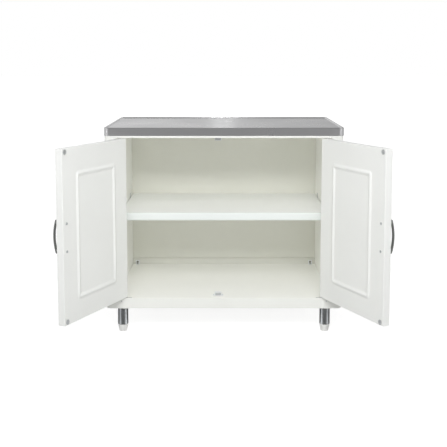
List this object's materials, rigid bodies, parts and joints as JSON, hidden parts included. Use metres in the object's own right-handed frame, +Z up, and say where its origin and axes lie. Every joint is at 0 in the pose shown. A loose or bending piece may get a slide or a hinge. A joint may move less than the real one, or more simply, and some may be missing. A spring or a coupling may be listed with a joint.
{
  "type": "floor cabinet",
  "caption": "White floor cabinet on chrome legs, with a sheet-metal worktop, a shelf and panelled doors on pivots, standing open.",
  "frame": {"origin": "on the floor, below the middle of the space that the cabinet takes with both doors open", "axes": "+X to the right as seen from the front, +Y towards the back, +Z up"},
  "size_m": [1.1596, 0.9102, 0.795],
  "materials": {
    "painted_board": "white foil, satin",
    "shelf_board": "white foil, satin",
    "painted_door": "white foil, satin, over a moulded board",
    "satin_worktop": "satin sheet",
    "dark_handle": "dark grey, satin",
    "zinc_hardware": "dark zinc plate",
    "chrome_tube": "polished",
    "pale_plastic": "pale grey, slightly translucent",
    "white_plastic": "white, matt",
    "magnet": "dark, matt"
  },
  "bodies": {
    "case": {"worktop": "satin_worktop", "floor_board": "painted_board", "roof_board": "painted_board", "left_side": "painted_board", "right_side": "painted_board", "back_panel": "painted_board", "back_cleat": "painted_board", "lower_catch": "white_plastic", "upper_catch": "white_plastic", "lower_catch_magnet": "magnet", "upper_catch_magnet": "magnet", "left_lower_pivot": "zinc_hardware", "left_lower_washer": "pale_plastic", "left_upper_pivot": "zinc_hardware", "left_upper_washer": "pale_plastic", "left_corner_bracket": "zinc_hardware", "left_pivot_lock_screw": "zinc_hardware", "right_lower_pivot": "zinc_hardware", "right_lower_washer": "pale_plastic", "right_upper_pivot": "zinc_hardware", "right_upper_washer": "pale_plastic", "right_corner_bracket": "zinc_hardware", "right_pivot_lock_screw": "zinc_hardware", "shelf_clip_front_left": "zinc_hardware", "leg_tube_front_left": "chrome_tube", "leg_plate_front_left": "pale_plastic", "shelf_clip_front_right": "zinc_hardware", "leg_tube_front_right": "chrome_tube", "leg_plate_front_right": "pale_plastic", "shelf_clip_rear_left": "zinc_hardware", "leg_tube_rear_left": "chrome_tube", "leg_plate_rear_left": "pale_plastic", "shelf_clip_rear_right": "zinc_hardware", "leg_tube_rear_right": "chrome_tube", "leg_plate_rear_right": "pale_plastic"},
    "left_door": {"left_door": "painted_door", "left_handle": "dark_handle", "left_lower_door_leaf": "zinc_hardware", "left_lower_strike": "zinc_hardware", "left_handle_screw_lower": "zinc_hardware", "left_upper_door_leaf": "zinc_hardware", "left_upper_strike": "zinc_hardware", "left_handle_screw_upper": "zinc_hardware"},
    "right_door": {"right_door": "painted_door", "right_handle": "dark_handle", "right_lower_door_leaf": "zinc_hardware", "right_lower_strike": "zinc_hardware", "right_handle_screw_lower": "zinc_hardware", "right_upper_door_leaf": "zinc_hardware", "right_upper_strike": "zinc_hardware", "right_handle_screw_upper": "zinc_hardware"},
    "shelf": {"shelf": "shelf_board"},
    "foot_front_left": {"leg_foot_front_left": "pale_plastic"},
    "foot_front_right": {"leg_foot_front_right": "pale_plastic"},
    "foot_rear_left": {"leg_foot_rear_left": "pale_plastic"},
    "foot_rear_right": {"leg_foot_rear_right": "pale_plastic"}
  },
  "joints": [
    {"name": "left_door_hinge", "type": "hinge", "parent": "case", "child": "left_door", "pos_m": [-0.3897, -0.09646, 0.451], "axis": [0, 0, 1], "range_deg": [-8.3, 115.7]},
    {"name": "right_door_hinge", "type": "hinge", "parent": "case", "child": "right_door", "pos_m": [0.3897, -0.09646, 0.451], "axis": [0, 0, -1], "range_deg": [-8.3, 115.7]},
    {"name": "shelf_lift", "type": "slide", "parent": "case", "child": "shelf", "axis": [0, 0, 1], "range_m": [0, 0.02]},
    {"name": "foot_front_left_level", "type": "slide", "parent": "case", "child": "foot_front_left", "axis": [0, 0, -1], "range_m": [0, 0.015]},
    {"name": "foot_front_right_level", "type": "slide", "parent": "case", "child": "foot_front_right", "axis": [0, 0, -1], "range_m": [0, 0.015]},
    {"name": "foot_rear_left_level", "type": "slide", "parent": "case", "child": "foot_rear_left", "axis": [0, 0, -1], "range_m": [0, 0.015]},
    {"name": "foot_rear_right_level", "type": "slide", "parent": "case", "child": "foot_rear_right", "axis": [0, 0, -1], "range_m": [0, 0.015]}
  ]
}
